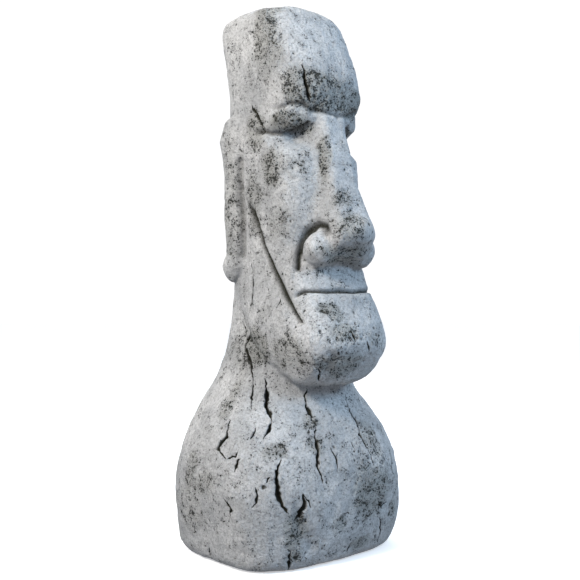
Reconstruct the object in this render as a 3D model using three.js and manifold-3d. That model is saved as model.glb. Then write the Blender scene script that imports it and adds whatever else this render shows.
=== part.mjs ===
// Garden figure: a head and bust in the manner of an Easter Island moai, poured in one piece
// of cast stone round a tied steel cage.
// Millimetres. +Z is up, the face looks towards -Y, and the origin is the middle of the
// underside that the figure rests on.

import * as THREE from "three";
import { mergeVertices } from "three/addons/utils/BufferGeometryUtils.js";
import Module from "manifold-3d";

const wasm = await Module();
wasm.setup();
const { Manifold, Mesh } = wasm;

// ---------------------------------------------------------------- driving dimensions

const HEIGHT = 1010;
const FIT_GAP = 0.3;
const UNDERSIDE_EDGE_ROUND = 26;

// Sections of the bust and of the head.
// Each row: height, half width, reach forwards, reach backwards, squareness of the outline.
const BUST_SECTIONS = [
  [0, 184, 148, 162, 3.4],
  [60, 196, 165, 171, 3.2],
  [130, 201, 172, 171, 3.0],
  [190, 191, 164, 166, 2.8],
  [236, 173, 146, 157, 2.6],
  [266, 157, 125, 150, 2.5],
  [300, 134, 105, 137, 2.5],
  [343, 113, 93, 121, 2.5],
  [400, 96, 90, 110, 2.5],
  [465, 89, 90, 104, 2.6],
  [560, 86, 88, 98, 2.6],
];
const BUST_TOP = 560;

const HEAD_SECTIONS = [
  [290, 84, 172, 90, 3.2],
  [340, 95, 182, 96, 3.4],
  [385, 106, 202, 98, 3.5],
  [425, 106, 194, 100, 3.4],
  [470, 98, 173, 101, 3.3],
  [520, 95, 148, 99, 3.2],
  [600, 96, 138, 97, 3.3],
  [660, 98, 134, 95, 3.4],
  [726, 99, 127, 95, 3.5],
  [785, 98, 118, 96, 3.3],
  [831, 99, 138, 98, 3.2],
  [870, 99, 134, 103, 3.2],
  [920, 98, 112, 112, 3.4],
  [972, 98, 84, 122, 3.5],
  [1016, 96, 64, 129, 3.5],
];

// Underside of the jaw: distance forwards, height.
const JAW_UNDERSIDE = [
  [-80, 520], [-30, 456], [0, 414], [33, 374], [61, 344],
  [90, 324], [120, 317], [155, 319], [190, 338], [230, 368],
];

// Nose: height, reach forwards of the ridge, half width of the ridge.
const NOSE_BOTTOM = 526;
const NOSE_ROOT = 816;
const NOSE_RIDGE = [
  [515, 160, 38], [545, 183, 43], [578, 197, 40], [620, 187, 34],
  [663, 171, 30], [726, 150, 27], [785, 137, 26], [815, 132, 30],
];

// Grooves on each side of the head, as distance forwards and height.
const EAR_FLATTENING = 0.55;
const EAR_HOLLOW = [[-12, 722], [-10, 650], [-9, 590], [-11, 548]];
const JAW_STRAP = [[-4, 676], [24, 622], [48, 572], [76, 524], [112, 474], [152, 432]];
const NOSTRIL_SCROLL = [
  [123, 522], [122, 545], [126, 568], [134, 588], [147, 600], [162, 597], [173, 583],
];
const MOUTH_HEIGHT = 483;

// Steel cage: four upright bars and the hoops tied round them.
const BAR_RADIUS = 4;
const BAR_HALF_SPREAD = 45;
const BAR_HALF_DEPTH = 50;
const BAR_BOTTOM = 2;
const BAR_TOP = 930;
const HOOP_WIRE_RADIUS = 3;
const HOOP_HEIGHTS = [80, 300, 560, 860];

// Fineness of the meshes.
const BAR_FACETS = 16;
const WIRE_FACETS = 8;
const HOOP_CORNER_STEPS = 4;

const STONE_COLOUR = 0xb4b8b8;
const STEEL_COLOUR = 0x6a5548;

// ---------------------------------------------------------------- small maths

const clamp = THREE.MathUtils.clamp;
const smoothstep = (low, high, value) => THREE.MathUtils.smoothstep(value, low, high);
const bell = (distance, width) => Math.exp(-((distance / width) ** 2));

function softMin(a, b, blend) {
  const mix = clamp(0.5 + (0.5 * (b - a)) / blend, 0, 1);
  return b * (1 - mix) + a * mix - blend * mix * (1 - mix);
}

function softMax(a, b, blend) {
  return -softMin(-a, -b, blend);
}

// Smooth curve through rows [position, value, ...], reading the value in the given column.
function along(rows, position, column = 1) {
  const last = rows.length - 1;
  const at = clamp(position, rows[0][0], rows[last][0]);
  let i = 0;
  while (i < last - 1 && rows[i + 1][0] < at) i += 1;
  const slope = (k) => {
    const before = rows[Math.max(k - 1, 0)];
    const after = rows[Math.min(k + 1, last)];
    return (after[column] - before[column]) / (after[0] - before[0]);
  };
  const span = rows[i + 1][0] - rows[i][0];
  const t = (at - rows[i][0]) / span;
  const s = 1 - t;
  return (1 + 2 * t) * s * s * rows[i][column]
    + t * s * s * span * slope(i)
    + t * t * (3 - 2 * t) * rows[i + 1][column]
    + t * t * (t - 1) * span * slope(i + 1);
}

// Distance in a plane to an open chain of points. "ahead" tells which side of it we are on.
function toChain(u, v, chain) {
  let best = { gap: Infinity, ahead: false };
  for (let i = 0; i + 1 < chain.length; i += 1) {
    const [au, av] = chain[i];
    const du = chain[i + 1][0] - au;
    const dv = chain[i + 1][1] - av;
    const t = clamp(((u - au) * du + (v - av) * dv) / (du * du + dv * dv), 0, 1);
    const gap = Math.hypot(u - au - t * du, v - av - t * dv);
    if (gap < best.gap) best = { gap, ahead: dv * (u - au) - du * (v - av) < 0 };
  }
  return best;
}

// ---------------------------------------------------------------- solid forms
// Each gives the distance to its surface, negative inside. "side" runs across the figure,
// "forth" towards the face and "z" up.

function sectionForm(side, forth, z, sections) {
  const halfWidth = along(sections, z, 1);
  const front = along(sections, z, 2);
  const back = along(sections, z, 3);
  const squareness = along(sections, z, 4);
  const fromCentre = forth - (front - back) / 2;
  const halfDepth = (front + back) / 2;
  const reach = (Math.abs(side) / halfWidth) ** squareness
    + (Math.abs(fromCentre) / halfDepth) ** squareness;
  const radius = Math.hypot(side, fromCentre);
  return radius - radius / Math.max(reach ** (1 / squareness), 1e-6);
}

function ellipsoid(side, forth, z, centre, radii) {
  const p = [side - centre[0], forth - centre[1], z - centre[2]];
  const unit = Math.hypot(p[0] / radii[0], p[1] / radii[1], p[2] / radii[2]);
  const steepness = Math.hypot(...p.map((value, i) => value / radii[i] ** 2));
  return (unit * (unit - 1)) / Math.max(steepness, 1e-9);
}

// Chain of tapered rods through beads [side, forth, z, radius].
function rope(side, forth, z, beads) {
  const point = new THREE.Vector3(side, forth, z);
  let nearest = Infinity;
  for (let i = 0; i + 1 < beads.length; i += 1) {
    const start = new THREE.Vector3(...beads[i]);
    const span = new THREE.Vector3(...beads[i + 1]).sub(start);
    const t = clamp(point.clone().sub(start).dot(span) / span.lengthSq(), 0, 1);
    const radius = beads[i][3] + t * (beads[i + 1][3] - beads[i][3]);
    nearest = Math.min(nearest, start.addScaledVector(span, t).distanceTo(point) - radius);
  }
  return nearest;
}

// ---------------------------------------------------------------- the carved figure

function bustForm(side, forth, z) {
  return softMax(sectionForm(side, forth, z, BUST_SECTIONS), z - BUST_TOP, 60);
}

function headForm(side, forth, z) {
  const crown = z - HEIGHT + 10 * ((forth + 20) / 100) ** 2 + 12 * (side / 95) ** 2;
  const jaw = 0.85 * (along(JAW_UNDERSIDE, forth) - z);
  return softMax(softMax(sectionForm(side, forth, z, HEAD_SECTIONS), crown, 26), jaw, 40);
}

function withEyes(body, side, forth, z) {
  const hollow = rope(side, forth, z, [[34, 138, 762, 30], [70, 126, 757, 28], [100, 84, 758, 20]]);
  const socket = ellipsoid(side, forth, z, [52, 110, 759], [36, 34, 16]);
  const lid = rope(side, forth, z, [
    [18, 110, 797, 8], [46, 107, 791, 10], [70, 92, 790, 10], [84, 72, 790, 5],
  ]);
  return softMin(softMax(softMax(body, -hollow, 18), -socket, 8), lid, 18);
}

function noseForm(side, forth, z) {
  const ridge = along(NOSE_RIDGE, z, 1);
  const halfWidth = along(NOSE_RIDGE, z, 2) + 0.34 * Math.max(ridge - forth, 0);
  let wedge = softMax(side - halfWidth, forth - ridge, 11);
  wedge = softMax(wedge, NOSE_BOTTOM + 0.1 * (200 - forth) - z, 26);
  wedge = softMax(wedge, z - NOSE_ROOT, 12);
  return Math.max(wedge, 60 - forth);
}

function withNose(body, side, forth, z) {
  const tip = ellipsoid(side, forth, z, [0, 183, 583], [40, 32, 27]);
  const wing = ellipsoid(side, forth, z, [42, 150, 557], [29, 32, 34]);
  return softMin(softMin(softMin(body, noseForm(side, forth, z), 12), tip, 14), wing, 16);
}

function withLips(body, side, forth, z) {
  const lip = rope(side, forth, z, [[0, 168, 464, 10], [45, 156, 464, 9], [78, 122, 464, 5]]);
  return softMin(body, lip, 14);
}

function withEars(body, side, forth, z) {
  const rim = rope(side, forth * EAR_FLATTENING, z, [
    [93, -23, 792, 15], [96, -24, 762, 19], [94, -22, 716, 17], [94, -19, 664, 17],
    [93, -19, 604, 16], [92, -20, 558, 15], [94, -22, 530, 14],
  ]);
  const lobe = ellipsoid(side, forth, z, [96, -42, 525], [14, 22, 24]);
  const strip = rope(side, forth, z, [
    [92, 10, 806, 7], [96, 6, 740, 9], [95, 4, 660, 9], [93, 14, 590, 7], [90, 34, 530, 4],
  ]);
  return softMin(softMin(body, softMin(rim, lobe, 12), 7), strip, 8);
}

// Depth cut away by the ear hollow, the jaw strap's step, the nostril scroll and the mouth.
function grooveDepth(side, forth, z) {
  const onFlank = smoothstep(50, 70, side);
  const ear = 9 * bell(toChain(forth, z, EAR_HOLLOW).gap, 9) * onFlank;
  const strap = toChain(forth, z, JAW_STRAP);
  const cheekStep = strap.ahead ? 4 * Math.exp(-strap.gap / 22) * (1 - bell(strap.gap, 9)) : 0;
  const jaw = (5 * bell(strap.gap, 9) + cheekStep) * onFlank;
  const scroll = 6 * bell(toChain(forth, z, NOSTRIL_SCROLL).gap, 9) * smoothstep(36, 48, side);
  const mouthLine = MOUTH_HEIGHT - 10 * smoothstep(70, 92, side) ** 2;
  const mouth = 7 * bell(z - mouthLine, 4.5) * (1 - smoothstep(82, 92, side))
    * smoothstep(96, 108, forth);
  return ear + jaw + scroll + mouth;
}

function figureForm(x, y, z) {
  const side = Math.abs(x);
  const forth = -y;
  let body = softMin(bustForm(side, forth, z), headForm(side, forth, z), 14);
  body = withEyes(body, side, forth, z);
  body = withNose(body, side, forth, z);
  body = withLips(body, side, forth, z);
  body = withEars(body, side, forth, z);
  return body + grooveDepth(side, forth, z);
}

function stoneForm(x, y, z) {
  return softMax(figureForm(x, y, z), -z, UNDERSIDE_EDGE_ROUND);
}

// ---------------------------------------------------------------- skin of the casting
// Rings of points laid on the form, outwards from an upright core line: level rings up to
// the forehead, then rings that lean up to the middle of the crown.

const CORE_FORTH = 10;
const CROWN_CENTRE_HEIGHT = 890;
const SEARCH_RADIUS = 330;

// Bands are [from, to, step], closer where the form turns sharply: heights of the level
// rings in mm, and the columns of one side in degrees from the face.
const RING_BANDS = [
  [3, 3, 1], [8, 8, 1], [16, 16, 1], [28, 28, 1], [48, 288, 24], [300, 312, 6],
  [316, 340, 6], [352, 468, 12.8], [478, 494, 4], [502, 518, 8], [523, 543, 5],
  [553, 782, 13.45], [790, 822, 8], [836, 876, 20],
];
const COLUMN_BANDS = [
  [0, 24, 4], [30.5, 70, 6.5], [74, 110, 4], [116, 128, 6], [138, 180, 10.5],
];
const CROWN_TILTS = [8, 19, 28, 35, 41, 46, 51, 58, 68, 79];

function spread(bands) {
  const places = [];
  for (const [from, to, stride] of bands) {
    for (let at = from; at <= to + 0.01; at += stride) places.push(at);
  }
  return places;
}

// Angles all the way round, the same on both sides of the face.
function columnAngles() {
  const oneSide = spread(COLUMN_BANDS);
  const otherSide = oneSide.slice(1, -1).map((angle) => -angle).reverse();
  return [...otherSide, ...oneSide].map(THREE.MathUtils.degToRad);
}

// Walk in along a ray from outside until the form is met, then halve the last step.
function meetForm(form, origin, direction) {
  const depthAt = (reach) => {
    const p = origin.clone().addScaledVector(direction, reach);
    return form(p.x, p.y, p.z);
  };
  let outer = SEARCH_RADIUS;
  let inner = outer;
  while (inner > 0 && depthAt(inner) > 0) {
    outer = inner;
    inner -= 2;
  }
  for (let i = 0; i < 20; i += 1) {
    const middle = (inner + outer) / 2;
    if (depthAt(middle) > 0) outer = middle;
    else inner = middle;
  }
  return origin.clone().addScaledVector(direction, inner);
}

function ringPoints(form, originHeight, tiltDegrees) {
  const origin = new THREE.Vector3(0, -CORE_FORTH, originHeight);
  const tilt = THREE.MathUtils.degToRad(tiltDegrees);
  return columnAngles().map((angle) => {
    const direction = new THREE.Vector3(
      Math.cos(tilt) * Math.sin(angle),
      -Math.cos(tilt) * Math.cos(angle),
      Math.sin(tilt),
    );
    return meetForm(form, origin, direction);
  });
}

function skinRings() {
  const restingFace = (x, y, z) => figureForm(x, y, z) + UNDERSIDE_EDGE_ROUND;
  const rings = [ringPoints(restingFace, 0, 0)];
  for (const z of spread(RING_BANDS)) rings.push(ringPoints(stoneForm, z, 0));
  for (const tilt of CROWN_TILTS) rings.push(ringPoints(stoneForm, CROWN_CENTRE_HEIGHT, tilt));
  return rings;
}

function figureGeometry() {
  const rings = skinRings();
  const columns = rings[0].length;
  const points = [new THREE.Vector3(0, -CORE_FORTH, 0), ...rings.flat()];
  const crownStart = new THREE.Vector3(0, -CORE_FORTH, CROWN_CENTRE_HEIGHT);
  points.push(meetForm(stoneForm, crownStart, new THREE.Vector3(0, 0, 1)));
  const crown = points.length - 1;
  const index = (ring, column) => 1 + ring * columns + (column % columns);
  const faces = [];
  for (let c = 0; c < columns; c += 1) {
    faces.push(0, index(0, c + 1), index(0, c));
    for (let r = 0; r + 1 < rings.length; r += 1) {
      faces.push(index(r, c), index(r, c + 1), index(r + 1, c + 1));
      faces.push(index(r, c), index(r + 1, c + 1), index(r + 1, c));
    }
    faces.push(index(rings.length - 1, c), index(rings.length - 1, c + 1), crown);
  }
  const geometry = new THREE.BufferGeometry().setFromPoints(points);
  geometry.setIndex(faces);
  return geometry;
}

// ---------------------------------------------------------------- steel cage

function barPositions() {
  return {
    bar_front_right: [-BAR_HALF_SPREAD, -BAR_HALF_DEPTH],
    bar_front_left: [BAR_HALF_SPREAD, -BAR_HALF_DEPTH],
    bar_back_right: [-BAR_HALF_SPREAD, BAR_HALF_DEPTH],
    bar_back_left: [BAR_HALF_SPREAD, BAR_HALF_DEPTH],
  };
}

// Upright rod about the given place, from one height to another.
function uprightRod([x, y], radius, from, to) {
  const rod = new THREE.CylinderGeometry(radius, radius, to - from, BAR_FACETS);
  return rod.rotateX(Math.PI / 2).translate(x, y, (from + to) / 2);
}

// Closed path that lies snugly round the four bars at one height.
class HoopPath extends THREE.Curve {
  constructor(height) {
    super();
    const standOff = BAR_RADIUS + FIT_GAP + HOOP_WIRE_RADIUS;
    const corners = [[1, 1], [-1, 1], [-1, -1], [1, -1]];
    this.stations = corners.flatMap(([sx, sy], corner) => {
      const steps = Array.from({ length: HOOP_CORNER_STEPS + 1 }, (_, i) => i / HOOP_CORNER_STEPS);
      return steps.map((step) => {
        const angle = ((corner + step) * Math.PI) / 2;
        const x = sx * BAR_HALF_SPREAD + standOff * Math.cos(angle);
        const y = sy * BAR_HALF_DEPTH + standOff * Math.sin(angle);
        return { point: new THREE.Vector3(x, y, height), angle };
      });
    });
  }

  station(t) {
    const count = this.stations.length;
    return this.stations[Math.round(t * count) % count];
  }

  getPointAt(t) {
    return this.station(t).point.clone();
  }

  getTangentAt(t) {
    const { angle } = this.station(t);
    return new THREE.Vector3(-Math.sin(angle), Math.cos(angle), 0);
  }
}

function hoop(height, wireRadius) {
  const path = new HoopPath(height);
  return new THREE.TubeGeometry(path, path.stations.length, wireRadius, WIRE_FACETS, true);
}

// ---------------------------------------------------------------- joining and cutting

// Bare positions with shared corners, so each mesh is one closed skin.
function closedSkin(geometry) {
  const bare = new THREE.BufferGeometry();
  bare.setAttribute("position", geometry.getAttribute("position"));
  bare.setIndex(geometry.getIndex());
  return mergeVertices(bare, 1e-4);
}

function toSolid(geometry) {
  const skin = closedSkin(geometry);
  const mesh = new Mesh({
    numProp: 3,
    vertProperties: new Float32Array(skin.getAttribute("position").array),
    triVerts: new Uint32Array(skin.getIndex().array),
  });
  return new Manifold(mesh);
}

function toGeometry(solid) {
  const mesh = solid.getMesh();
  const geometry = new THREE.BufferGeometry();
  geometry.setAttribute("position", new THREE.BufferAttribute(mesh.vertProperties, 3));
  geometry.setIndex(new THREE.BufferAttribute(mesh.triVerts, 1));
  return geometry;
}

// Room in the stone for the whole cage, open at the underside where the bars come out.
function cageChannels() {
  const belowUnderside = -5;
  const bars = Object.values(barPositions()).map((place) => toSolid(
    uprightRod(place, BAR_RADIUS + FIT_GAP, belowUnderside, BAR_TOP + FIT_GAP),
  ));
  const hoops = HOOP_HEIGHTS.map((height) => toSolid(hoop(height, HOOP_WIRE_RADIUS + FIT_GAP)));
  return Manifold.union([...bars, ...hoops]);
}

function stoneCasting() {
  return toGeometry(toSolid(figureGeometry()).subtract(cageChannels()));
}

// ---------------------------------------------------------------- the assembly

const stone = { color: STONE_COLOUR, roughness: 0.95, metalness: 0 };
const steel = { color: STEEL_COLOUR, roughness: 0.7, metalness: 0.6 };

function addPiece(group, name, geometry, look) {
  const piece = new THREE.Mesh(geometry, new THREE.MeshStandardMaterial(look));
  piece.name = name;
  group.add(piece);
}

const figure = new THREE.Group();
figure.name = "moai_garden_figure";
addPiece(figure, "stone_casting", stoneCasting(), stone);
for (const [name, place] of Object.entries(barPositions())) {
  addPiece(figure, name, closedSkin(uprightRod(place, BAR_RADIUS, BAR_BOTTOM, BAR_TOP)), steel);
}
HOOP_HEIGHTS.forEach((height, i) => {
  addPiece(figure, `tie_hoop_${i + 1}`, closedSkin(hoop(height, HOOP_WIRE_RADIUS)), steel);
});

export default figure;
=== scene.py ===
"""Looks for the cast-stone garden figure: a weathered moai head and bust.

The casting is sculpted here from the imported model's own skin: it is spread into an even
grid, laid on a smooth form, and then weathered with carved lines, cracks and pits, all as
real geometry. Sizes inside the sculpting functions are millimetres in the row frame, with
"side" across the figure, "forth" the way the face looks and z up.
"""

import math

import bmesh
import bpy
import numpy as np
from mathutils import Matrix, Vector


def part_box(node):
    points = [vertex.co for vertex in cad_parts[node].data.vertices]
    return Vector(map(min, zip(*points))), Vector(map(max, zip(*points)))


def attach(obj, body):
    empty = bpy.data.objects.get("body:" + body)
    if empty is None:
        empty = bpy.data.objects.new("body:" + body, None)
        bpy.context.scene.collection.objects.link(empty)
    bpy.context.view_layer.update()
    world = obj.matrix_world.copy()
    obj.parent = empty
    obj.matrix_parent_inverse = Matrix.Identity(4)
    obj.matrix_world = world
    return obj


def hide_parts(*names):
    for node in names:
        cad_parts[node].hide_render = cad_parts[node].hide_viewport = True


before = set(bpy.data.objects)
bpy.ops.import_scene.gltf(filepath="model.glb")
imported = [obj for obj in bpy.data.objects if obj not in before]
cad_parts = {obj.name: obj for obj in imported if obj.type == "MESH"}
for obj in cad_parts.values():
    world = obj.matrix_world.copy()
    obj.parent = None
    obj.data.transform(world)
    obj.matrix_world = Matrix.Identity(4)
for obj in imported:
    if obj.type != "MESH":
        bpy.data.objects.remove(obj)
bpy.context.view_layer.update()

MM = 0.001
FAR = 1e9
STEEL_NODES = [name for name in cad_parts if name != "stone_casting"]

# ---------------------------------------------------------------- driving dimensions
# Millimetres, except for the seed, and for the camera and lights, in degrees and metres.

HEIGHT = 1010
UNDERSIDE_EDGE_ROUND = 26
GRID_SIZE = 5.2
SEED = 41
CRACK_MARGIN = 25
CAMERA_AZIMUTH = -38.5
CAMERA_DISTANCE = 1.7
CAMERA_HEIGHT = 0.484

# Rows: name, azimuth, elevation, distance, size, power, colour.
LIGHTS = [
    ("key", -80, 34, 2.6, 0.55, 62, (1.0, 0.965, 0.90)),
    ("front_fill", 18, 26, 3.0, 1.0, 46, (0.42, 0.70, 1.0)),
    ("back_fill", 150, 35, 3.0, 2.0, 34, (1.0, 1.0, 1.0)),
]
LIGHT_TARGET_HEIGHT = 0.5

# Rows: height, half width, reach forwards, reach backwards, squareness of the outline.
BUST_SECTIONS = [
    (0, 184, 148, 162, 3.4),
    (60, 196, 165, 171, 3.2),
    (130, 201, 172, 171, 3.0),
    (190, 191, 164, 166, 2.8),
    (236, 173, 146, 157, 2.6),
    (266, 157, 125, 150, 2.5),
    (300, 134, 105, 137, 2.5),
    (343, 113, 93, 121, 2.5),
    (400, 96, 90, 110, 2.5),
    (465, 89, 90, 104, 2.6),
    (560, 86, 88, 98, 2.6),
]
BUST_TOP = 560
HEAD_SECTIONS = [
    (290, 84, 172, 90, 3.2),
    (340, 95, 182, 96, 3.4),
    (385, 106, 202, 98, 3.5),
    (425, 106, 194, 100, 3.4),
    (470, 98, 173, 101, 3.3),
    (520, 95, 148, 99, 3.2),
    (600, 96, 138, 97, 3.3),
    (660, 98, 134, 95, 3.4),
    (726, 99, 127, 95, 3.5),
    (785, 98, 118, 96, 3.3),
    (831, 99, 138, 98, 3.2),
    (870, 99, 134, 103, 3.2),
    (920, 98, 112, 112, 3.4),
    (972, 98, 84, 122, 3.5),
    (1016, 96, 64, 129, 3.5),
]
JAW_UNDERSIDE = [
    (-80, 520), (-30, 456), (0, 414), (33, 374), (61, 344),
    (90, 324), (120, 317), (155, 319), (190, 338), (230, 368),
]
NOSE_BOTTOM = 526
NOSE_ROOT = 816
NOSE_RIDGE = [
    (515, 160, 38), (545, 183, 43), (578, 197, 40), (620, 187, 34),
    (663, 171, 30), (726, 150, 27), (785, 137, 26), (815, 132, 30),
]

# Carved lines on each side of the head, as (forth, z), and the brow's crease as (side, z).
EAR_HOLLOW = [(-12, 722), (-10, 650), (-9, 590), (-11, 548)]
JAW_STRAP = [(-4, 676), (24, 622), (48, 572), (76, 524), (112, 474), (152, 432)]
NOSTRIL_SCROLL = [
    (123, 522), (122, 545), (126, 568), (134, 588), (147, 600), (162, 597), (173, 583),
]
BROW_CREASE = [(0, 798), (24, 799), (46, 802), (64, 811), (80, 811), (90, 806)]
UNDER_LID = [(46, 780), (56, 769), (72, 762), (90, 764), (104, 774)]
MOUTH_HEIGHT = 483

# Cracks: half width, depth, then the points (x, y, z) that the crack runs through.
CRACKS = [
    # Brow and temple.
    (3.2, 9, [(-65, -123, 880), (-62, -130, 850), (-58, -130, 826), (-55, -129, 812)]),
    (2.8, 7, [(-99, -16, 822), (-100, -36, 794), (-104, -60, 766)]),
    # Chin and neck.
    (1.4, 4, [(-94, -12, 532), (-96, -20, 478), (-102, -14, 440)]),
    (3.0, 8, [(-102, -14, 440), (-98, 0, 384), (-104, -22, 354), (-114, -43, 318)]),
    (1.2, 4, [(-90, 24, 424), (-94, 8, 407), (-98, -2, 386)]),
    (1.7, 5, [(-72, -176, 350), (-66, -168, 338), (-58, -156, 322)]),
    (1.2, 4, [(14, -201, 396), (19, -203, 386), (25, -200, 374)]),
    (1.2, 4, [(40, -200, 402), (44, -200, 392), (48, -198, 378)]),
    (1.5, 3, [(-92, -96, 470), (-95, -84, 446)]),
    (1.4, 3, [(-20, -198, 420), (-12, -201, 396)]),
    # Bust.
    (1.6, 5, [(-114, -43, 318), (-124, -52, 296), (-134, -61, 274)]),
    (3.5, 12, [(-98, -62, 326), (-103, -70, 306), (-112, -80, 282), (-116, -102, 256)]),
    (3.2, 10, [(-116, -102, 256), (-129, -106, 240), (-141, -106, 225)]),
    (3.2, 7, [(-143, -88, 243), (-153, -90, 227)]),
    (2.0, 7, [(-38, -100, 308), (-46, -112, 280), (-48, -134, 248)]),
    (3.0, 9, [(-48, -134, 248), (-57, -149, 220), (-63, -161, 178), (-59, -166, 150)]),
    (1.9, 6, [(58, -104, 300), (48, -124, 262), (50, -150, 217), (67, -162, 168)]),
    (1.6, 5, [(74, -165, 106), (85, -162, 84), (103, -159, 95)]),
    (1.5, 5, [(84, -163, 82), (92, -158, 48), (96, -146, 12)]),
    (2.7, 6, [(-157, -38, 256), (-172, -45, 226), (-181, -36, 207), (-181, -62, 190)]),
    (1.7, 4, [(-181, -62, 190), (-174, -78, 194), (-169, -79, 208)]),
    (1.9, 5, [(-171, -88, 196), (-178, -84, 182), (-182, -82, 170)]),
    (1.7, 5, [(-163, -123, 154), (-162, -126, 140), (-165, -125, 126), (-171, -119, 118)]),
    (3.5, 11, [(-124, -136, 196), (-136, -139, 178), (-137, -145, 142), (-123, -153, 102)]),
    (3.4, 10, [(-96, -161, 137), (-100, -160, 114), (-109, -157, 90)]),
    (1.4, 4, [(-96, -161, 137), (-90, -162, 124), (-83, -164, 110)]),
    (3.4, 10, [(-110, -149, 40), (-113, -145, 22), (-107, -134, 4)]),
    (1.2, 4, [(-188, -14, 34), (-187, -8, 18), (-182, -4, 6)]),
    (1.7, 5, [(18, -156, 38), (13, -154, 28), (11, -150, 16)]),
    (1.6, 4, [(-150, -118, 262), (-152, -122, 246)]),
    (1.8, 4, [(-188, -70, 128), (-186, -84, 112), (-188, -78, 98)]),
    (1.5, 4, [(-150, -140, 172), (-156, -137, 160)]),
    (1.5, 3, [(-30, -160, 214), (-24, -164, 190), (-28, -167, 166)]),
    (1.4, 3, [(20, -160, 222), (26, -165, 196)]),
    (1.8, 5, [(118, -140, 196), (128, -136, 176), (124, -142, 150), (134, -138, 128)]),
    (1.5, 4, [(128, -140, 110), (140, -134, 92), (136, -138, 70)]),
    # The far side and the back, which carry the same kind of damage.
    (2.8, 9, [(96, 60, 330), (112, 74, 300), (122, 92, 262), (138, 96, 226)]),
    (2.0, 6, [(38, 128, 330), (30, 146, 280), (36, 160, 236), (26, 166, 190)]),
    (3.2, 10, [(-70, 162, 196), (-62, 166, 160), (-72, 168, 118)]),
    (1.5, 5, [(162, -60, 220), (172, -44, 190), (170, -28, 160)]),
    (3.0, 9, [(178, 40, 150), (182, 52, 112), (174, 60, 74)]),
    (1.4, 5, [(99, 20, 930), (98, 12, 900), (100, 18, 872)]),
    (1.5, 5, [(-40, 108, 860), (-34, 104, 826), (-44, 99, 790)]),
    (1.5, 5, [(52, 96, 560), (46, 97, 520), (54, 98, 480)]),
    (2.4, 6, [(-150, 110, 130), (-156, 100, 96), (-148, 104, 60)]),
]

# Wide worn scars: half width, depth, points.
SCARS = [
    (11, 3.0, [(-146, -114, 206), (-134, -124, 211), (-123, -136, 203)]),
    (13, 5.0, [(-104, -158, 92), (-92, -158, 66), (-76, -154, 40)]),
    (9, 3.0, [(-56, -196, 370), (-58, -186, 354), (-58, -176, 340)]),
    (12, 3.0, [(120, 130, 180), (108, 140, 150), (112, 138, 120)]),
]

# Patches where the skin is rough and darker from weathering, and one on the neck under the jaw and
# ear that is painted shade: centre, radii, strength.
WEAR_AND_SHADE_PATCHES = [
    # Crown and forehead.
    ((-88, -48, 945), (20, 26, 62), 0.8),
    ((-78, -40, 990), (30, 30, 24), 0.8),
    ((-84, -60, 900), (28, 32, 66), 0.6),
    ((0, 20, 1010), (90, 90, 14), 0.7),
    # Brow.
    ((-34, -124, 850), (76, 42, 34), 0.85),
    ((-30, -128, 822), (78, 40, 26), 1.0),
    ((-72, -110, 838), (22, 26, 22), 0.8),
    # Lids and temple.
    ((-48, -104, 770), (24, 24, 15), 1.0),
    ((-74, -96, 780), (40, 34, 18), 1.0),
    ((-100, -34, 776), (20, 30, 44), 0.8),
    # Cheek and ear.
    ((-92, -74, 704), (22, 34, 40), 0.8),
    ((-96, -24, 640), (20, 26, 70), 0.7),
    ((-70, -112, 700), (30, 30, 26), 0.5),
    ((-86, -78, 596), (16, 34, 44), 0.6),
    ((-108, 36, 650), (14, 30, 140), 0.6),
    # Nose.
    ((-24, -142, 706), (10, 22, 46), 1.0),
    ((-18, -170, 646), (20, 24, 24), 0.7),
    ((-14, -190, 596), (36, 30, 26), 0.8),
    ((-24, -176, 546), (54, 40, 18), 0.8),
    # Mouth, chin and neck.
    # Painted shade: the neck under the jaw and ear, darkened as if weathered.
    ((-106, 8, 380), (26, 40, 70), 0.6),
    ((-104, -40, 384), (24, 44, 40), 1.0),
    ((-92, -120, 372), (34, 50, 34), 0.7),
    ((-50, -178, 446), (24, 30, 16), 1.0),
    ((-34, -198, 412), (34, 30, 20), 0.9),
    ((-44, -186, 356), (60, 40, 26), 0.8),
    ((-40, -150, 508), (70, 40, 20), 0.4),
    # Bust.
    ((-178, -20, 150), (40, 50, 34), 0.7),
    ((-186, 30, 96), (30, 50, 50), 0.6),
    ((-104, -158, 74), (22, 30, 44), 0.85),
    ((-128, -128, 206), (24, 24, 16), 0.8),
    ((-52, -128, 258), (16, 24, 16), 0.7),
    # Far side and back.
    ((50, -104, 770), (24, 24, 15), 0.9),
    ((104, 8, 400), (26, 40, 60), 0.5),
    ((56, -126, 826), (50, 40, 30), 0.9),
    ((60, -160, 128), (50, 34, 56), 0.8),
    ((96, -40, 940), (26, 50, 60), 0.7),
    ((60, 120, 900), (60, 40, 60), 0.6),
    ((-50, 98, 620), (50, 30, 90), 0.6),
    ((104, -60, 640), (24, 50, 80), 0.7),
    ((108, -60, 380), (30, 70, 40), 0.7),
    ((40, 160, 120), (90, 30, 70), 0.6),
    ((150, 40, 210), (60, 70, 60), 0.6),
]


# ---------------------------------------------------------------- small maths

def soft_min(a, b, blend):
    mix = np.clip(0.5 + 0.5 * (b - a) / blend, 0, 1)
    return b * (1 - mix) + a * mix - blend * mix * (1 - mix)


def soft_max(a, b, blend):
    return -soft_min(-a, -b, blend)


def ease(low, high, value):
    """0 below low, 1 above high, smooth between."""
    t = np.clip((value - low) / (high - low), 0, 1)
    return t * t * (3 - 2 * t)


def bell(distance, width):
    return np.exp(-((distance / width) ** 2))


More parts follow.
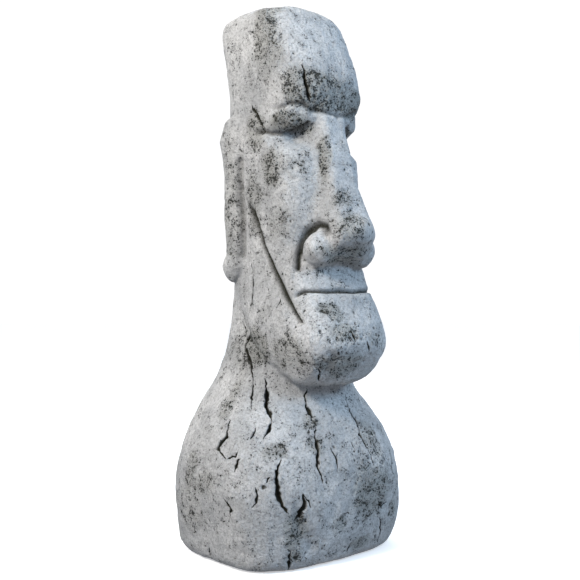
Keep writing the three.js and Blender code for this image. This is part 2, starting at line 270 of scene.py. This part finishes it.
def along(rows, position, column=1):
    """Smooth curve through the rows' first column, reading the given column."""
    table = np.array(rows, float)
    place, value = table[:, 0], table[:, column]
    slope = np.empty(len(place))
    slope[1:-1] = (value[2:] - value[:-2]) / (place[2:] - place[:-2])
    slope[0] = (value[1] - value[0]) / (place[1] - place[0])
    slope[-1] = (value[-1] - value[-2]) / (place[-1] - place[-2])
    at = np.clip(position, place[0], place[-1])
    i = np.clip(np.searchsorted(place, at) - 1, 0, len(place) - 2)
    span = place[i + 1] - place[i]
    t = (at - place[i]) / span
    s = 1 - t
    return (
        (1 + 2 * t) * s * s * value[i]
        + t * s * s * span * slope[i]
        + t * t * (3 - 2 * t) * value[i + 1]
        + t * t * (t - 1) * span * slope[i + 1]
    )


def to_chain(u, v, chain):
    """Distance in a plane to an open chain; signed side of it; and how far past its ends."""
    gap = np.full(np.shape(u), FAR)
    ahead = np.zeros(np.shape(u))
    past = np.zeros(np.shape(u))
    last = len(chain) - 2
    for i, ((au, av), (bu, bv)) in enumerate(zip(chain[:-1], chain[1:])):
        du, dv = bu - au, bv - av
        length = math.hypot(du, dv)
        free = ((u - au) * du + (v - av) * dv) / length**2
        t = np.clip(free, 0, 1)
        here = np.hypot(u - au - t * du, v - av - t * dv)
        nearer = here < gap
        side = np.sign(du * (v - av) - dv * (u - au))
        over = np.zeros(np.shape(u))
        if i == 0:
            over = np.maximum(over, -free * length)
        if i == last:
            over = np.maximum(over, (free - 1) * length)
        gap = np.where(nearer, here, gap)
        ahead = np.where(nearer, side, ahead)
        past = np.where(nearer, over, past)
    return gap, ahead, past


def to_line(points, outward, chain):
    """Distance over the skin to an open chain of points, and how far along it, 0 to 1."""
    chain = np.array(chain, float)
    lengths = np.linalg.norm(np.diff(chain, axis=0), axis=1)
    start = np.concatenate([[0], np.cumsum(lengths)]) / lengths.sum()
    gap = np.full(len(points), FAR)
    share = np.zeros(len(points))
    for i in range(len(lengths)):
        span = chain[i + 1] - chain[i]
        t = np.clip((points - chain[i]) @ span / (span @ span), 0, 1)
        away = points - chain[i] - t[:, None] * span
        away = away - (away * outward).sum(axis=1)[:, None] * outward
        here = np.linalg.norm(away, axis=1)
        nearer = here < gap
        gap = np.where(nearer, here, gap)
        share = np.where(nearer, start[i] + t * (start[i + 1] - start[i]), share)
    return gap, share


def noise(points, size, seed):
    """Smooth noise from -1 to 1 with features of the given size in millimetres."""
    cells = 64
    table = np.random.default_rng(seed).random((cells, cells, cells)) * 2 - 1
    q = points / size + seed * 7.3
    base = np.floor(q).astype(int)
    t = q - base
    t = t * t * (3 - 2 * t)
    total = np.zeros(len(points))
    for corner in range(8):
        step = np.array([corner & 1, corner >> 1 & 1, corner >> 2 & 1])
        weight = np.prod(np.where(step, t, 1 - t), axis=1)
        i, j, k = ((base + step) % cells).T
        total += weight * table[i, j, k]
    return total


def drift(points, size, reach, seed):
    """A smooth random sideways shift for each point, up to about reach."""
    return np.stack([noise(points, size, seed + k) for k in range(3)], axis=1) * reach


def cells_nearest(points, size, seed):
    """Distance to the nearest of scattered seeds, and that seed's own random number."""
    cells = 64
    rng = np.random.default_rng(seed)
    jitter = rng.random((cells, cells, cells, 3))
    lot = rng.random((cells, cells, cells))
    q = points / size + seed * 3.1
    base = np.floor(q).astype(int)
    nearest = np.full(len(points), FAR)
    number = np.zeros(len(points))
    for shift in np.ndindex(3, 3, 3):
        cell = base + np.array(shift) - 1
        i, j, k = (cell % cells).T
        gap = np.linalg.norm(q - cell - jitter[i, j, k], axis=1)
        nearer = gap < nearest
        nearest = np.where(nearer, gap, nearest)
        number = np.where(nearer, lot[i, j, k], number)
    return nearest * size, number


# ---------------------------------------------------------------- the smooth form
# Each function gives a distance to its surface, negative inside.

def section_form(side, forth, z, sections):
    """Upright body whose outline at each height is a rounded box from the table."""
    half_width, front, back, squareness = (along(sections, z, c) for c in (1, 2, 3, 4))
    from_centre = forth - (front - back) / 2
    half_depth = (front + back) / 2
    reach = np.abs(side / half_width) ** squareness
    reach = reach + np.abs(from_centre / half_depth) ** squareness
    radius = np.hypot(side, from_centre)
    return radius - radius / np.maximum(reach ** (1 / squareness), 1e-6)


def ellipsoid(side, forth, z, centre, radii):
    p = [side - centre[0], forth - centre[1], z - centre[2]]
    unit = np.sqrt(sum((v / r) ** 2 for v, r in zip(p, radii)))
    steepness = np.sqrt(sum((v / r**2) ** 2 for v, r in zip(p, radii)))
    return unit * (unit - 1) / np.maximum(steepness, 1e-9)


def rope(side, forth, z, beads):
    """Chain of tapered rods through beads (side, forth, z, radius)."""
    nearest = np.full(np.shape(side), FAR)
    for a, b in zip(beads[:-1], beads[1:]):
        start = np.array(a[:3], float)
        span = np.array(b[:3], float) - start
        p = [side - start[0], forth - start[1], z - start[2]]
        t = np.clip(sum(v * s for v, s in zip(p, span)) / (span @ span), 0, 1)
        away = np.sqrt(sum((v - t * s) ** 2 for v, s in zip(p, span)))
        nearest = np.minimum(nearest, away - (a[3] + t * (b[3] - a[3])))
    return nearest


def bust_form(side, forth, z):
    return soft_max(section_form(side, forth, z, BUST_SECTIONS), z - BUST_TOP, 60)


def head_form(side, forth, z):
    crown = z - HEIGHT + 10 * ((forth + 20) / 100) ** 2 + 12 * (side / 95) ** 2
    jaw = 0.85 * (along(JAW_UNDERSIDE, forth) - z)
    return soft_max(soft_max(section_form(side, forth, z, HEAD_SECTIONS), crown, 26), jaw, 40)


def with_eyes(body, side, forth, z):
    """Sockets under the brow, each with a heavy half-closed lid."""
    hollow = rope(side, forth, z, [(34, 138, 762, 30), (70, 126, 757, 28), (100, 84, 758, 20)])
    socket = ellipsoid(side, forth, z, (52, 110, 759), (36, 34, 16))
    lid = rope(side, forth, z, [
        (18, 110, 797, 8), (46, 107, 791, 10), (70, 92, 790, 10), (84, 72, 790, 5),
    ])
    return soft_min(soft_max(soft_max(body, -hollow, 18), -socket, 8), lid, 18)


def nose_form(side, forth, z):
    ridge = along(NOSE_RIDGE, z, 1)
    half_width = along(NOSE_RIDGE, z, 2) + 0.34 * np.maximum(ridge - forth, 0)
    wedge = soft_max(side - half_width, forth - ridge, 11)
    wedge = soft_max(wedge, NOSE_BOTTOM + 0.1 * (200 - forth) - z, 26)
    wedge = soft_max(wedge, z - NOSE_ROOT, 12)
    return np.maximum(wedge, 60 - forth)


def with_nose(body, side, forth, z):
    """A long wedge with a round tip and a swollen nostril on each side."""
    tip = ellipsoid(side, forth, z, (0, 183, 583), (40, 32, 27))
    wing = ellipsoid(side, forth, z, (44, 146, 556), (34, 31, 34))
    return soft_min(soft_min(soft_min(body, nose_form(side, forth, z), 12), tip, 14), wing, 5)


def with_lips(body, side, forth, z):
    lip = rope(side, forth, z, [(0, 168, 464, 10), (45, 156, 464, 9), (78, 122, 464, 5)])
    return soft_min(body, lip, 14)


def with_ears(body, side, forth, z):
    """A long flat rim with a lobe, and a thinner strip in front of it."""
    flattening = 0.55
    rim = rope(side, forth * flattening, z, [
        (93, -23, 792, 15), (96, -24, 762, 19), (94, -22, 716, 17), (94, -19, 664, 17),
        (93, -19, 604, 16), (92, -20, 558, 15), (94, -22, 530, 14),
    ])
    lobe = ellipsoid(side, forth, z, (96, -42, 525), (14, 22, 24))
    strip = rope(side, forth, z, [
        (92, 10, 806, 7), (96, 6, 740, 9), (95, 4, 660, 9), (93, 14, 590, 7), (90, 34, 530, 4),
    ])
    return soft_min(soft_min(body, soft_min(rim, lobe, 12), 7), strip, 8)


def smooth_form(points):
    side, forth, z = np.abs(points[:, 0]), -points[:, 1], points[:, 2]
    body = soft_min(bust_form(side, forth, z), head_form(side, forth, z), 14)
    body = with_eyes(body, side, forth, z)
    body = with_nose(body, side, forth, z)
    body = with_lips(body, side, forth, z)
    body = with_ears(body, side, forth, z)
    return soft_max(body, -z, UNDERSIDE_EDGE_ROUND)


def form_slope(points, here):
    """Gradient of the form, by stepping a little along each axis."""
    reach = 0.5
    slope = np.empty((len(points), 3))
    for axis in range(3):
        moved = points.copy()
        moved[:, axis] += reach
        slope[:, axis] = (smooth_form(moved) - here) / reach
    return slope


def lay_on_form(points, rounds):
    """Move points onto the form, and give the outward direction at each."""
    for _ in range(rounds):
        here = smooth_form(points)
        slope = form_slope(points, here)
        steep = np.maximum((slope**2).sum(axis=1), 0.05)
        move = np.clip(here / steep, -6, 6)
        points = points - move[:, None] * slope
    slope = form_slope(points, smooth_form(points))
    return points, slope / np.maximum(np.linalg.norm(slope, axis=1), 1e-6)[:, None]


# ---------------------------------------------------------------- carving and weather
# Each gives a height to add along the outward direction, and an amount from 0 to 1 that darkens
# the colour: dirt, and painted shade in creases and cracks.

def carved_lines(points):
    side, forth, z = np.abs(points[:, 0]), -points[:, 1], points[:, 2]
    wander = drift(points, 30, 1.6, SEED)
    f, h = forth + wander[:, 0], z + wander[:, 1]
    flank = ease(50, 70, side)

    gap, _, _ = to_chain(f, h, EAR_HOLLOW)
    ear = bell(gap, 6.5) * flank
    gap, ahead, past = to_chain(f, h, JAW_STRAP)
    ends = np.exp(-np.maximum(past, 0) / 6)
    signed = -ahead * gap
    cheek = ease(-1.5, 3.0, signed) * np.exp(-np.maximum(signed, 0) / 17) * flank * ends
    middle = ease(440, 480, z) * (1 - ease(590, 660, z))
    shallow = 1 - 0.6 * ease(610, 676, z)
    cheek = cheek * shallow
    strap = bell(signed - 2.4, 3.6 + 3.2 * middle) * (0.75 + 0.3 * middle) * flank * ends * shallow
    gap, _, _ = to_chain(f, h, NOSTRIL_SCROLL)
    scroll = bell(gap, 4.6 + 2.2 * ease(550, 590, z)) * ease(36, 48, side)
    scroll = scroll * (1 - 0.6 * ease(160, 176, forth))
    mouth_line = MOUTH_HEIGHT - 10 * ease(70, 92, side) ** 2
    mouth = bell(h - mouth_line, 3.6) * (1 - ease(84, 94, side)) * ease(96, 108, forth)
    gap, _, _ = to_chain(side, h, BROW_CREASE)
    brow = bell(gap, 4.5) * ease(60, 80, forth)
    gap, _, past = to_chain(side, h, UNDER_LID)
    lid = bell(gap, 4.5) * np.exp(-past / 4) * ease(10, 40, forth)

    height = -8 * ear - 6 * cheek - 6.5 * strap - 11 * scroll - 7 * mouth - 4 * brow - 7 * lid
    # Painted shade and dirt: the carved creases and the hollows beside them are darkened in
    # colour.
    dirt_and_painted_shade = 0.45 * ear + 0.3 * cheek + 0.7 * strap + 0.85 * scroll
    dirt_and_painted_shade = dirt_and_painted_shade + 0.75 * mouth + 0.5 * brow + 0.6 * lid
    return height, dirt_and_painted_shade


def in_reach(points, chain):
    """Which points are close enough to a chain to be worth measuring to it."""
    box = np.array(chain, float)
    low, high = box.min(axis=0) - CRACK_MARGIN, box.max(axis=0) + CRACK_MARGIN
    return np.all((points > low) & (points < high), axis=1)


def cracks(points, outward):
    """Wandering slots that narrow to nothing at both ends, in slightly sunken skin."""
    height = np.zeros(len(points))
    dirt_and_painted_shade = np.zeros(len(points))
    wander = drift(points, 34, 3.5, SEED + 5)
    wander += drift(points, 13, 2.6, SEED + 10)
    wander += drift(points, 4.5, 1.7, SEED + 20)
    ragged = 1 + 0.55 * noise(points, 9, SEED + 30)
    for half_width, depth, chain in CRACKS:
        near = in_reach(points, chain)
        gap, share = to_line(points[near] + wander[near], outward[near], chain)
        taper = np.minimum(1, 0.2 + 2.4 * np.minimum(share, 1 - share))
        width = half_width * taper * ragged[near]
        cut = np.clip(1.25 - gap / width, 0, 1)
        sunken = 1.2 * taper * bell(gap, 9)
        height[near] = np.minimum(height[near], -depth * taper * cut - sunken)
        # Painted shade and dirt: the slot goes dark, and a band of skin beside it is darkened too.
        dirt_and_shade_beside_crack = 0.22 * taper * bell(gap, 7)
        dirt_and_painted_shade[near] = np.maximum(dirt_and_painted_shade[near], np.clip(cut * 1.5, 0, 1) + dirt_and_shade_beside_crack)
    return height, dirt_and_painted_shade


def scars(points, outward):
    """Wide shallow hollows where the face of the stone has worn away."""
    height = np.zeros(len(points))
    dirt_and_painted_shade = np.zeros(len(points))
    wander = drift(points, 18, 5, SEED + 40)
    for half_width, depth, chain in SCARS:
        gap, _ = to_line(points + wander, outward, chain)
        on_this_side = np.linalg.norm(points - np.array(chain[1]), axis=1) < 90
        worn = bell(gap, half_width) * on_this_side
        height -= depth * worn
        dirt_and_painted_shade += 0.25 * worn
    return height, dirt_and_painted_shade


def wear_and_shade_of(points):
    """How weathered the skin is at each point, 0 to 1, with painted shade added on the neck under
    the jaw and ear.
    """
    wear_and_shade = np.zeros(len(points))
    wander = drift(points, 34, 12, SEED + 50)
    for centre, radii, strength in WEAR_AND_SHADE_PATCHES:
        gap = np.linalg.norm((points + wander - np.array(centre)) / np.array(radii), axis=1)
        wear_and_shade = np.maximum(wear_and_shade, strength * (1 - ease(0.55, 1.5, gap)))
    # The bust is splashed from the ground and is weathered more all over.
    share = 0.5 + 0.2 * (1 - ease(300, 480, points[:, 2]))
    scattered = share * ease(0.25, 0.75, noise(points, 46, SEED + 60))
    return np.maximum(wear_and_shade, scattered)


def pits(points, wear_and_shade):
    """Small round holes, thickest where the skin is rough."""
    height = np.zeros(len(points))
    dirt_and_painted_shade = np.zeros(len(points))
    # Rows: spacing, radius, depth, share of seeds that are pits on sound and on rough skin.
    for spacing, radius, depth, sound_share, rough_share in (
        (20, 4.2, 2.6, 0.03, 0.25),
        (11, 3.0, 2.2, 0.07, 0.45),
        (7, 2.1, 1.6, 0.08, 0.45),
    ):
        bent = points + drift(points, 6, 2.4, SEED + 70 + spacing)
        gap, lot = cells_nearest(bent, spacing, SEED + 80 + spacing)
        share = sound_share + (rough_share - sound_share) * wear_and_shade
        size = radius * (0.5 + 0.9 * ((lot * 37) % 1))
        bowl = np.clip(1 - (gap / size) ** 2, 0, 1) * (lot < share)
        height -= depth * bowl
        dirt_and_painted_shade = np.maximum(dirt_and_painted_shade, 0.85 * bowl**0.7)
    return height, dirt_and_painted_shade


def undulation(points, wear_and_shade):
    slow = 2.3 * noise(points, 95, SEED + 90) + 1.7 * noise(points, 42, SEED + 91)
    lumps = 1.1 * noise(points, 19, SEED + 92)
    worn = noise(points, 10, SEED + 93) + 0.7 * noise(points, 5.5, SEED + 94)
    drawn = points * np.array([1, 1, 0.25])
    flutes = 0.9 * noise(drawn, 22, SEED + 96) + 0.35 * noise(drawn, 7, SEED + 95)
    return slow + lumps + flutes + worn * (0.36 + 0.9 * wear_and_shade)


def weather(points, outward):
    """Total height over the smooth form, with the amounts of dirt and painted shade, and of wear
    with painted shade, there.
    """
    wear_and_shade = wear_and_shade_of(points)
    height = undulation(points, wear_and_shade)
    dirt_and_painted_shade = np.zeros(len(points))
    for extra_height, extra_dirt_and_painted_shade in (
        carved_lines(points),
        scars(points, outward),
        pits(points, wear_and_shade),
        cracks(points, outward),
    ):
        height = height + extra_height
        dirt_and_painted_shade = np.maximum(dirt_and_painted_shade, extra_dirt_and_painted_shade)
    # The flat underside that the figure stands on stays smooth.
    bedded = (1 - ease(-0.95, -0.7, -np.abs(outward[:, 2]))) * (outward[:, 2] < 0)
    bedded = bedded * (1 - ease(1, 6, points[:, 2]))
    return height * (1 - bedded), dirt_and_painted_shade, wear_and_shade


# ---------------------------------------------------------------- building the casting

def outer_skin(node):
    """The node's mesh without the walls of the steel's channels, closed over underneath."""
    skin = bmesh.new()
    skin.from_mesh(bpy.data.objects[node].data)
    corners = [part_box(name) for name in STEEL_NODES]
    margin = 2 * MM
    low = [min(c[0][a] for c in corners) - margin for a in range(3)]
    high = [max(c[1][a] for c in corners) + margin for a in range(3)]

    def in_channel(face):
        middle = face.calc_center_median()
        flat_underneath = all(v.co.z < 0.1 * MM for v in face.verts)
        inside = all(low[a] < middle[a] < high[a] for a in range(2)) and middle.z < high[2]
        return inside and not flat_underneath

    walls = [face for face in skin.faces if in_channel(face)]
    bmesh.ops.delete(skin, geom=walls, context="FACES")
    rims = [edge for edge in skin.edges if edge.is_boundary]
    bmesh.ops.holes_fill(skin, edges=rims)
    return skin


def even_grid(skin, name):
    """The same solid as an even grid of quads."""
    rough_mesh = bpy.data.meshes.new(name + "_skin")
    skin.to_mesh(rough_mesh)
    skin.free()
    holder = bpy.data.objects.new(name, rough_mesh)
    bpy.context.scene.collection.objects.link(holder)
    remesh = holder.modifiers.new("even_grid", "REMESH")
    remesh.mode = "VOXEL"
    remesh.voxel_size = GRID_SIZE * MM
    halve = holder.modifiers.new("halve", "SUBSURF")
    halve.subdivision_type = "SIMPLE"
    halve.levels = halve.render_levels = 1
    shown = holder.evaluated_get(bpy.context.evaluated_depsgraph_get())
    grid = bpy.data.meshes.new_from_object(shown)
    holder.modifiers.clear()
    holder.data = grid
    bpy.data.meshes.remove(rough_mesh)
    return holder


def mesh_points(mesh):
    flat = np.empty(len(mesh.vertices) * 3)
    mesh.vertices.foreach_get("co", flat)
    return flat.reshape(-1, 3) / MM


def set_mesh_points(mesh, points):
    mesh.vertices.foreach_set("co", (points * MM).ravel())
    mesh.update()


def halve_faces(mesh, corners):
    """Halve the faces that have any of the marked corners."""
    fine = bmesh.new()
    fine.from_mesh(mesh)
    edges = set()
    for face in fine.faces:
        if any(corners[v.index] for v in face.verts):
            edges.update(face.edges)
    bmesh.ops.subdivide_edges(fine, edges=list(edges), cuts=1, use_grid_fill=True)
    fine.to_mesh(mesh)
    fine.free()


def near_crack(points, outward, reach):
    """Which points lie within reach of the edge of any crack."""
    near = np.zeros(len(points), bool)
    for half_width, _, chain in CRACKS:
        around = in_reach(points, chain)
        gap, _ = to_line(points[around], outward[around], chain)
        near[around] |= gap < reach + half_width
    return near


def store(mesh, name, values):
    layer = mesh.attributes.new(name, "FLOAT", "POINT")
    layer.data.foreach_set("value", values.astype(np.float32))


def stone_casting():
    """The weathered casting, with finer faces along the carved lines and the cracks."""
    piece = even_grid(outer_skin("stone_casting"), "weathered_casting")
    mesh = piece.data
    points, outward = lay_on_form(mesh_points(mesh), 4)
    set_mesh_points(mesh, points)
    height, _ = carved_lines(points)
    halve_faces(mesh, (height < -1.0) | near_crack(points, outward, 8))
    points, outward = lay_on_form(mesh_points(mesh), 1)
    halve_faces(mesh, near_crack(points, outward, 5))
    points, outward = lay_on_form(mesh_points(mesh), 1)
    height, dirt_and_painted_shade, wear_and_shade = weather(points, outward)
    points = points + height[:, None] * outward
    points[:, 2] = np.maximum(points[:, 2], 0)
    set_mesh_points(mesh, points)
    store(mesh, "dirt_and_painted_shade", dirt_and_painted_shade)
    store(mesh, "wear_and_shade", wear_and_shade)
    mesh.shade_smooth()
    return piece


# ---------------------------------------------------------------- materials

class Shader:
    """A material whose nodes are added and joined by short calls."""

    def __init__(self, name):
        self.material = bpy.data.materials.new(name)
        self.material.use_nodes = True
        self.nodes = self.material.node_tree.nodes
        self.links = self.material.node_tree.links
        self.surface = self.nodes["Principled BSDF"]
        self.place = self.nodes.new("ShaderNodeTexCoord").outputs["Object"]

    def join(self, value, socket):
        if isinstance(value, bpy.types.NodeSocket):
            self.links.new(value, socket)
        else:
            socket.default_value = value

    def noise(self, scale, detail=4.0, roughness=0.6, stretch=None):
        node = self.nodes.new("ShaderNodeTexNoise")
        node.inputs["Scale"].default_value = scale
        node.inputs["Detail"].default_value = detail
        node.inputs["Roughness"].default_value = roughness
        place = self.place
        if stretch:
            mapping = self.nodes.new("ShaderNodeMapping")
            mapping.inputs["Scale"].default_value = stretch
            self.links.new(place, mapping.inputs["Vector"])
            place = mapping.outputs["Vector"]
        self.links.new(place, node.inputs["Vector"])
        return node.outputs["Fac"]

    def specks(self, scale):
        """Distance to the nearest of scattered points, with ragged edges."""
        node = self.nodes.new("ShaderNodeTexVoronoi")
        node.inputs["Scale"].default_value = scale
        warp = self.nodes.new("ShaderNodeVectorMath")
        warp.operation = "MULTIPLY_ADD"
        bend = self.nodes.new("ShaderNodeTexNoise")
        bend.inputs["Scale"].default_value = scale * 0.9
        self.links.new(self.place, bend.inputs["Vector"])
        self.links.new(bend.outputs["Color"], warp.inputs[0])
        warp.inputs[1].default_value = (0.9 / scale,) * 3
        self.links.new(self.place, warp.inputs[2])
        self.links.new(warp.outputs[0], node.inputs["Vector"])
        return node.outputs["Distance"]

    def attribute(self, name):
        node = self.nodes.new("ShaderNodeAttribute")
        node.attribute_name = name
        return node.outputs["Fac"]

    def math(self, operation, a, b=0.5):
        node = self.nodes.new("ShaderNodeMath")
        node.operation = operation
        self.join(a, node.inputs[0])
        self.join(b, node.inputs[1])
        return node.outputs[0]

    def fade(self, value, low, high, to_low=0.0, to_high=1.0):
        """value mapped smoothly from low..high to to_low..to_high."""
        node = self.nodes.new("ShaderNodeMapRange")
        node.interpolation_type = "SMOOTHSTEP"
        self.join(value, node.inputs["Value"])
        self.join(low, node.inputs["From Min"])
        self.join(high, node.inputs["From Max"])
        self.join(to_low, node.inputs["To Min"])
        self.join(to_high, node.inputs["To Max"])
        return node.outputs["Result"]

    def blend(self, factor, first, second):
        """A colour between two others, by a factor from 0 to 1."""
        node = self.nodes.new("ShaderNodeMix")
        node.data_type = "RGBA"
        colours = [socket for socket in node.inputs if socket.type == "RGBA"]
        self.join(factor, node.inputs["Factor"])
        self.join(first, colours[0])
        self.join(second, colours[1])
        return node.outputs[2]

    def bump(self, height, distance, strength=1.0, after=None):
        node = self.nodes.new("ShaderNodeBump")
        node.inputs["Strength"].default_value = strength
        node.inputs["Distance"].default_value = distance
        self.links.new(height, node.inputs["Height"])
        if after is not None:
            self.links.new(after, node.inputs["Normal"])
        return node.outputs["Normal"]


def grey(level, warmth=0.0):
    return (level * (1 + warmth), level, level * (1 - warmth), 1.0)


def stone_material():
    """Grey stone: blotches, stains, streaks and grain, then pits, and darkening in the pits,
    cracks and carved lines that is dirt and painted shade.
    """
    s = Shader("weathered_cast_stone")
    dirt_and_painted_shade = s.attribute("dirt_and_painted_shade")
    wear_and_shade = s.attribute("wear_and_shade")

    colour = s.blend(s.fade(s.noise(9, 4), 0.33, 0.67), grey(0.70, 0.015), grey(0.50, 0.0))
    patchy = s.fade(s.noise(55, 9, 0.78), 0.44, 0.68)
    # Worn skin is blotchier and darker olive; on the neck under the jaw and ear this darkening is
    # painted shade.
    patchy = s.math("MULTIPLY", patchy, s.fade(wear_and_shade, 0.0, 0.9, 0.3, 0.85))
    colour = s.blend(patchy, colour, grey(0.19, 0.03))
    colour = s.blend(s.fade(wear_and_shade, 0.25, 1.0, 0.0, 0.50), colour, (0.225, 0.220, 0.180, 1.0))
    streaks = s.fade(s.noise(36, 6, 0.65, stretch=(4, 4, 0.7)), 0.50, 0.75, 0.0, 0.35)
    colour = s.blend(streaks, colour, grey(0.26, 0.03))
    grain = s.fade(s.noise(240, 7, 0.85), 0.48, 0.60, 0.0, 0.55)
    colour = s.blend(grain, colour, grey(0.22, 0.03))

    where = s.fade(s.noise(55, 7, 0.75), 0.42, 0.68)
    where = s.math("ADD", where, s.fade(wear_and_shade, 0.1, 0.9, 0.12, 0.68))
    pitted = 0.0
    # Rows: how close the specks are, their size, and how dark.
    for closeness, size, darkness in ((115, 0.26, 0.95), (210, 0.33, 0.95), (380, 0.34, 0.85)):
        reach = s.math("MULTIPLY", where, size)
        depth = s.math("SUBTRACT", s.specks(closeness), reach)
        pitted = s.math("MAXIMUM", pitted, s.fade(depth, -0.10, 0.03, darkness, 0.0))
    colour = s.blend(pitted, colour, (0.042, 0.043, 0.038, 1.0))

    # Painted shade and dirt: the carved lines, cracks, scars and pits go nearly black.
    dirt_and_painted_shade_amount = s.math("MULTIPLY", dirt_and_painted_shade, s.fade(s.noise(260, 4, 0.7), 0.2, 0.6, 0.7, 1.0))
    colour = s.blend(s.fade(dirt_and_painted_shade_amount, 0.08, 0.85), colour, (0.034, 0.033, 0.024, 1.0))

    s.join(colour, s.surface.inputs["Base Color"])
    s.join(s.fade(s.noise(90, 4), 0.3, 0.7, 0.82, 0.97), s.surface.inputs["Roughness"])
    s.surface.inputs["Specular IOR Level"].default_value = 0.2
    normal = s.bump(s.noise(120, 4, 0.6), 0.006, 0.9)
    relief = s.math("SUBTRACT", s.noise(260, 6, 0.8), s.math("MULTIPLY", pitted, 0.8))
    normal = s.bump(relief, 0.0028, 1.0, after=normal)
    s.join(normal, s.surface.inputs["Normal"])
    return s.material


def steel_material():
    s = Shader("rusted_steel")
    rust = s.fade(s.noise(160, 6, 0.7), 0.38, 0.62)
    colour = s.blend(rust, (0.10, 0.095, 0.09, 1.0), (0.20, 0.075, 0.03, 1.0))
    s.join(colour, s.surface.inputs["Base Color"])
    s.join(s.fade(rust, 0, 1, 0.45, 0.9), s.surface.inputs["Roughness"])
    s.join(s.fade(rust, 0, 1, 0.8, 0.0), s.surface.inputs["Metallic"])
    s.join(s.bump(s.noise(700, 5, 0.7), 0.0003), s.surface.inputs["Normal"])
    return s.material


def floor_material():
    s = Shader("pale_floor")
    colour = s.blend(s.fade(s.noise(3, 2), 0.3, 0.7), grey(0.90), grey(0.92))
    s.join(colour, s.surface.inputs["Base Color"])
    s.surface.inputs["Roughness"].default_value = 0.9
    s.surface.inputs["Specular IOR Level"].default_value = 0.0
    s.surface.inputs["Emission Color"].default_value = grey(1.0)
    s.surface.inputs["Emission Strength"].default_value = 0.42
    return s.material


def backdrop_material():
    s = Shader("white_backdrop")
    s.surface.inputs["Base Color"].default_value = grey(0.0)
    s.surface.inputs["Emission Color"].default_value = grey(1.0)
    s.surface.inputs["Emission Strength"].default_value = 1.05
    return s.material


# ---------------------------------------------------------------- stage, light and camera

def stage_piece(name, shape, material):
    """A piece of the stage that throws no light back onto the figure."""
    mesh = bpy.data.meshes.new(name)
    shape.to_mesh(mesh)
    shape.free()
    mesh.materials.append(material)
    piece = bpy.data.objects.new(name, mesh)
    bpy.context.scene.collection.objects.link(piece)
    piece.visible_diffuse = False
    return piece


def floor(name, radius, material):
    """A flat round floor, level with the underside of the figure."""
    disc = bmesh.new()
    bmesh.ops.create_circle(disc, cap_ends=True, radius=radius, segments=96)
    piece = stage_piece(name, disc, material)
    return piece


def dome(name, radius, material):
    """A white surround that only the camera sees."""
    ball = bmesh.new()
    bmesh.ops.create_uvsphere(ball, u_segments=48, v_segments=24, radius=radius)
    piece = stage_piece(name, ball, material)
    piece.visible_glossy = False
    piece.visible_shadow = False
    return piece


def surrounding_light():
    """Even sky light that is stronger from above and dim from below."""
    world = bpy.data.worlds.new("soft_surround")
    world.use_nodes = True
    nodes, links = world.node_tree.nodes, world.node_tree.links
    nodes.clear()
    place = nodes.new("ShaderNodeTexCoord")
    split = nodes.new("ShaderNodeSeparateXYZ")
    ramp = nodes.new("ShaderNodeValToRGB")
    shift = nodes.new("ShaderNodeMapRange")
    shift.inputs["From Min"].default_value = -1
    background = nodes.new("ShaderNodeBackground")
    output = nodes.new("ShaderNodeOutputWorld")
    stops = ramp.color_ramp.elements
    stops[0].position, stops[0].color = 0.30, (0.34, 0.35, 0.37, 1)
    stops[1].position, stops[1].color = 0.95, (0.98, 1.0, 1.04, 1)
    middle = stops.new(0.52)
    middle.color = (0.32, 0.41, 0.55, 1)
    links.new(place.outputs["Generated"], split.inputs[0])
    links.new(split.outputs["Z"], shift.inputs["Value"])
    links.new(shift.outputs[0], ramp.inputs[0])
    links.new(ramp.outputs[0], background.inputs["Color"])
    background.inputs["Strength"].default_value = 0.8
    links.new(background.outputs[0], output.inputs[0])
    bpy.context.scene.world = world


def panel_light(name, azimuth, elevation, distance, size, power, colour):
    lamp = bpy.data.lights.new(name, "AREA")
    lamp.size = size
    lamp.energy = power
    lamp.color = colour
    holder = bpy.data.objects.new(name, lamp)
    a, e = math.radians(azimuth), math.radians(elevation)
    away = Vector((math.sin(a) * math.cos(e), -math.cos(a) * math.cos(e), math.sin(e)))
    holder.location = Vector((0, 0, LIGHT_TARGET_HEIGHT)) + away * distance
    holder.rotation_mode = "QUATERNION"
    holder.rotation_quaternion = away.to_track_quat("Z", "Y")
    bpy.context.scene.collection.objects.link(holder)
    return holder


def camera():
    """Level camera on the figure's right front, at mid height."""
    azimuth = math.radians(CAMERA_AZIMUTH)
    data = bpy.data.cameras.new("camera")
    data.sensor_width = 36
    data.lens = 55.3
    data.shift_x = 0.0035
    data.dof.use_dof = False
    data.clip_end = 100
    holder = bpy.data.objects.new("camera", data)
    away = Vector((math.sin(azimuth), -math.cos(azimuth), 0))
    holder.location = away * CAMERA_DISTANCE + Vector((0, 0, CAMERA_HEIGHT))
    holder.rotation_mode = "QUATERNION"
    holder.rotation_quaternion = away.to_track_quat("Z", "Y")
    bpy.context.scene.collection.objects.link(holder)
    bpy.context.scene.camera = holder


# ---------------------------------------------------------------- putting it together

def use_material(piece, material):
    piece.data.materials.clear()
    piece.data.materials.append(material)


camera()
bpy.context.scene.view_settings.view_transform = "Standard"

casting = stone_casting()
use_material(casting, stone_material())
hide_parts("stone_casting")
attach(casting, "root")

steel = steel_material()
for name in STEEL_NODES:
    node = bpy.data.objects[name]
    for slot in node.material_slots:
        slot.material = steel

floor("pale_floor", 12, floor_material())
dome("backdrop", 40, backdrop_material())
surrounding_light()
for light in LIGHTS:
    panel_light(*light)
